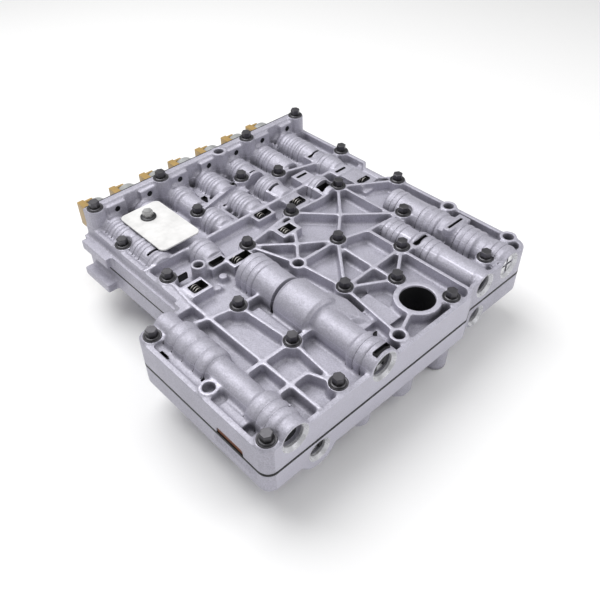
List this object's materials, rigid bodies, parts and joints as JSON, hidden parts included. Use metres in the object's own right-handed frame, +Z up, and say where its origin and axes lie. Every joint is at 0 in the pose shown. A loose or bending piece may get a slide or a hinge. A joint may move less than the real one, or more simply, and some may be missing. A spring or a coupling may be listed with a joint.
{
  "type": "transmission valve body",
  "caption": "Automatic transmission valve body: ribbed upper casting bolted to a lower casting over a separator plate, with spool valves and a row of solenoids.",
  "frame": {"origin": "axis of the large supply port, on the plane of the main bolt seats", "axes": "+X to the right along the machined front, +Y back along the valve bores to the solenoids, +Z up out of the ribbed upper casting"},
  "size_m": [0.2988, 0.329, 0.101],
  "materials": {
    "casting": "die-cast, matt, fine grain",
    "plate_steel": "dark coated sheet",
    "amber": "amber moulded plastic",
    "black_bolt": "black phosphated steel, glossy edges",
    "white_label": "matt white",
    "bright_steel": "bright zinc",
    "plug_alloy": "turned",
    "spring_steel": "spring wire",
    "valve_alloy": "ground and anodised"
  },
  "bodies": {
    "valve_housing": {"upper_casting": "casting", "lower_casting": "casting", "separator_plate": "plate_steel", "side_screen": "amber", "body_bolts": "black_bolt", "wall_bolts": "black_bolt", "tag": "white_label", "tag_bolt": "bright_steel", "solenoid_retainer": "plate_steel", "retainer_screws": "black_bolt", "solenoids": "bright_steel", "solenoid_connectors": "amber", "bore_plugs": "plug_alloy", "plug_clips": "plate_steel", "valve_springs": "spring_steel"},
    "valve_left_body": {"valve_left": "valve_alloy"},
    "valve_main_body": {"valve_main": "valve_alloy"},
    "valve_middle_body": {"valve_middle": "valve_alloy"},
    "valve_right_body": {"valve_right": "valve_alloy"},
    "valve_low_left_body": {"valve_low_left": "valve_alloy"},
    "valve_low_right_body": {"valve_low_right": "valve_alloy"}
  },
  "joints": [
    {"name": "valve_left_slide", "type": "slide", "parent": "valve_housing", "child": "valve_left_body", "axis": [0, 1, 0], "range_m": [0, 0.008], "stiffness_N_per_m": 300, "springref_m": -0.004, "deforming": ["valve_springs"]},
    {"name": "valve_main_slide", "type": "slide", "parent": "valve_housing", "child": "valve_main_body", "axis": [0, 1, 0], "range_m": [0, 0.008], "stiffness_N_per_m": 300, "springref_m": -0.004, "deforming": ["valve_springs"]},
    {"name": "valve_middle_slide", "type": "slide", "parent": "valve_housing", "child": "valve_middle_body", "axis": [0, 1, 0], "range_m": [0, 0.008], "stiffness_N_per_m": 300, "springref_m": -0.004, "deforming": ["valve_springs"]},
    {"name": "valve_right_slide", "type": "slide", "parent": "valve_housing", "child": "valve_right_body", "axis": [0, 1, 0], "range_m": [0, 0.008], "stiffness_N_per_m": 300, "springref_m": -0.004, "deforming": ["valve_springs"]},
    {"name": "valve_low_left_slide", "type": "slide", "parent": "valve_housing", "child": "valve_low_left_body", "axis": [0, 1, 0], "range_m": [0, 0.008], "stiffness_N_per_m": 300, "springref_m": -0.004, "deforming": ["valve_springs"]},
    {"name": "valve_low_right_slide", "type": "slide", "parent": "valve_housing", "child": "valve_low_right_body", "axis": [0, 1, 0], "range_m": [0, 0.008], "stiffness_N_per_m": 300, "springref_m": -0.004, "deforming": ["valve_springs"]}
  ]
}
